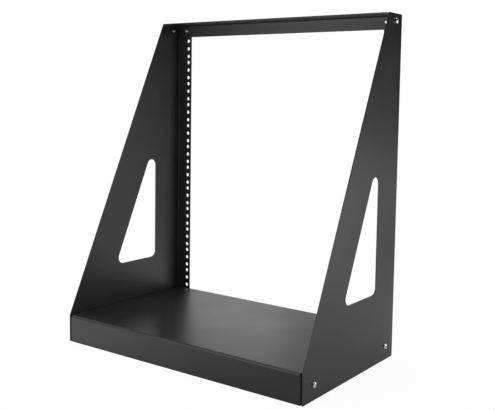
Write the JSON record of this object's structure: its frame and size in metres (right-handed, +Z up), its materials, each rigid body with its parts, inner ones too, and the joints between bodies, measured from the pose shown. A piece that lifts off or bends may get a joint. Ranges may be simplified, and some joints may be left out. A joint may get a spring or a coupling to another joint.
{
  "type": "two-post open frame rack",
  "caption": "Desktop open frame rack: two slanted steel side panels with folded-in drilled rails, joined by a folded base tray and a top crossbar, for 19 inch equipment.",
  "frame": {"origin": "middle of the sheet metal footprint on the surface that the rack stands on; the rear screw heads stand 3.7 mm proud of it", "axes": "+X to the rack's right as the picture's camera sees it, +Y from the slanted edges to the drilled rails, +Z up"},
  "size_m": [0.5274, 0.3037, 0.61],
  "materials": {
    "powder_coat": "fine-textured satin black powder coat on cold rolled steel",
    "bright_zinc": "bright zinc plated steel screws",
    "black_zinc": "black zinc plated steel clinch nuts"
  },
  "bodies": {
    "root": {"left_side_panel": "powder_coat", "right_side_panel": "powder_coat", "base_tray": "powder_coat", "top_crossbar": "powder_coat", "left_screw_base_front": "bright_zinc", "left_screw_base_rear": "bright_zinc", "left_screw_base_rail": "bright_zinc", "left_screw_head_side": "bright_zinc", "left_screw_head_rail": "bright_zinc", "right_screw_base_front": "bright_zinc", "right_screw_base_rear": "bright_zinc", "right_screw_base_rail": "bright_zinc", "right_screw_head_side": "bright_zinc", "right_screw_head_rail": "bright_zinc", "left_nut_base_front": "black_zinc", "left_nut_base_rear": "black_zinc", "left_nut_base_rail": "black_zinc", "left_nut_head_side": "black_zinc", "left_nut_head_rail": "black_zinc", "right_nut_base_front": "black_zinc", "right_nut_base_rear": "black_zinc", "right_nut_base_rail": "black_zinc", "right_nut_head_side": "black_zinc", "right_nut_head_rail": "black_zinc"}
  },
  "joints": []
}
